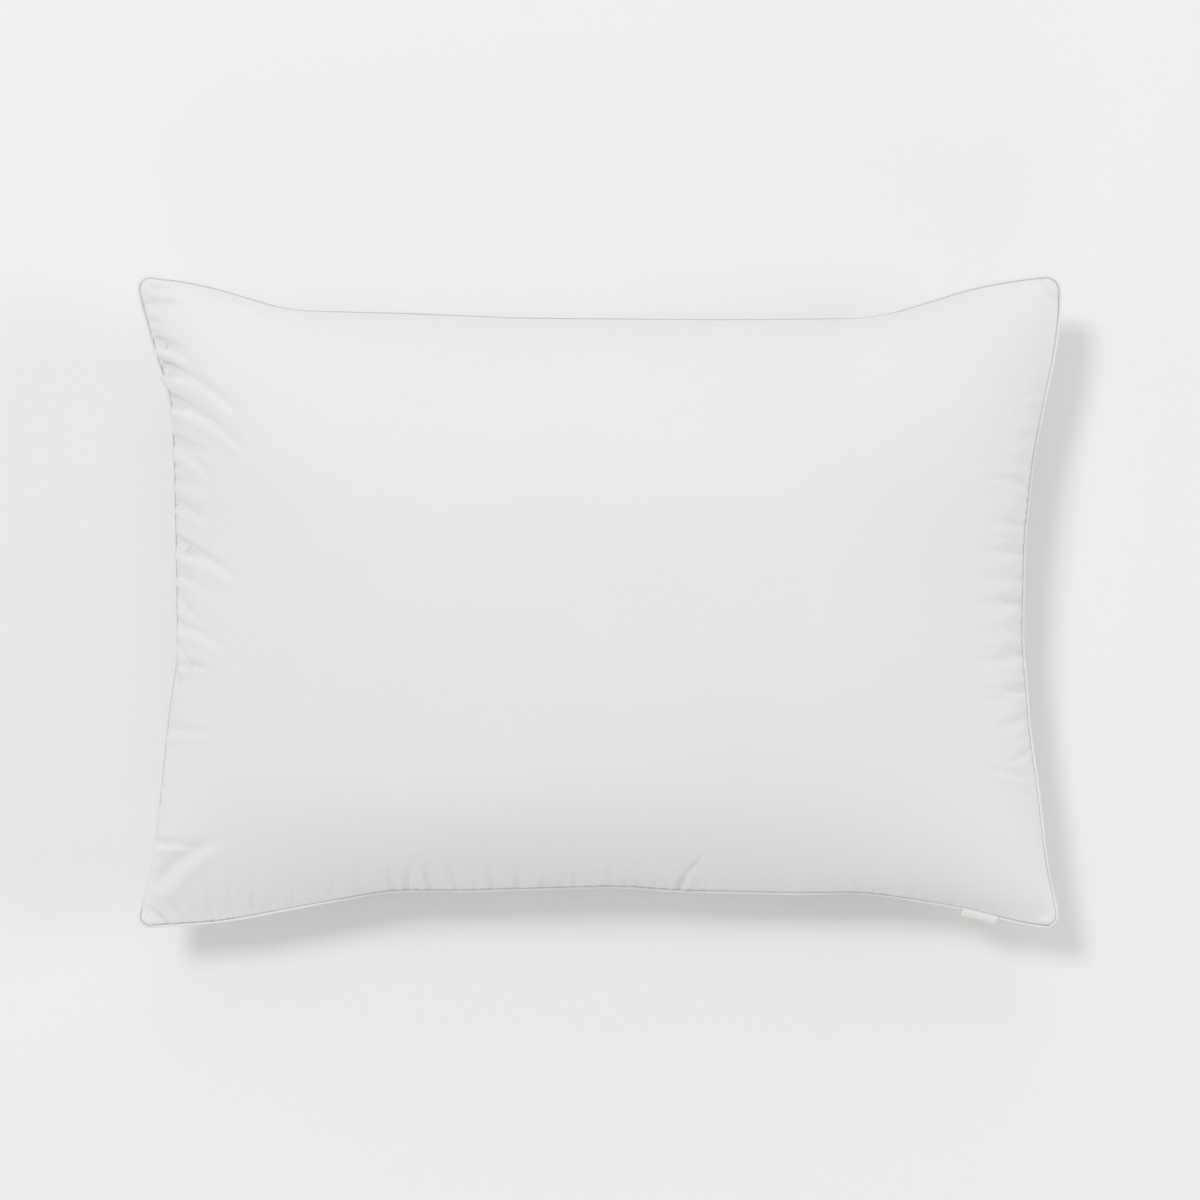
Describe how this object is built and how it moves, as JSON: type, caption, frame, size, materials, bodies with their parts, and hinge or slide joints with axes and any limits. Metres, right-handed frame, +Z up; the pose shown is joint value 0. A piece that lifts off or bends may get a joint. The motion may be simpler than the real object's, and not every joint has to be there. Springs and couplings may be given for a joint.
{
  "type": "bed pillow",
  "caption": "Rectangular bed pillow with a piped edge, drawn-in sides, pointed corners and a folded label in the seam.",
  "frame": {"origin": "middle of the patch that the pillow lies on, which is the bottom centre of its box", "axes": "+X along the length, towards the end with the label; +Y across the width, away from the label's edge; +Z up through the crown"},
  "size_m": [0.7002, 0.4952, 0.18],
  "materials": {
    "cover_cotton": "smooth fine cotton, plain white",
    "polyester_fill": "loose siliconised microfibre",
    "cotton_cord": "soft twisted cotton",
    "piping_cotton": "bias-cut fine cotton, plain white",
    "thread": "spun polyester sewing thread",
    "label_ribbon": "ivory satin ribbon, blank"
  },
  "bodies": {
    "root": {"top_panel": "cover_cotton", "bottom_panel": "cover_cotton", "fibre_fill": "polyester_fill", "piping_cord": "cotton_cord", "piping_strip": "piping_cotton", "needle_thread": "thread", "bobbin_thread": "thread", "overlock_thread": "thread", "closing_stitches": "thread", "label": "label_ribbon"}
  },
  "joints": []
}
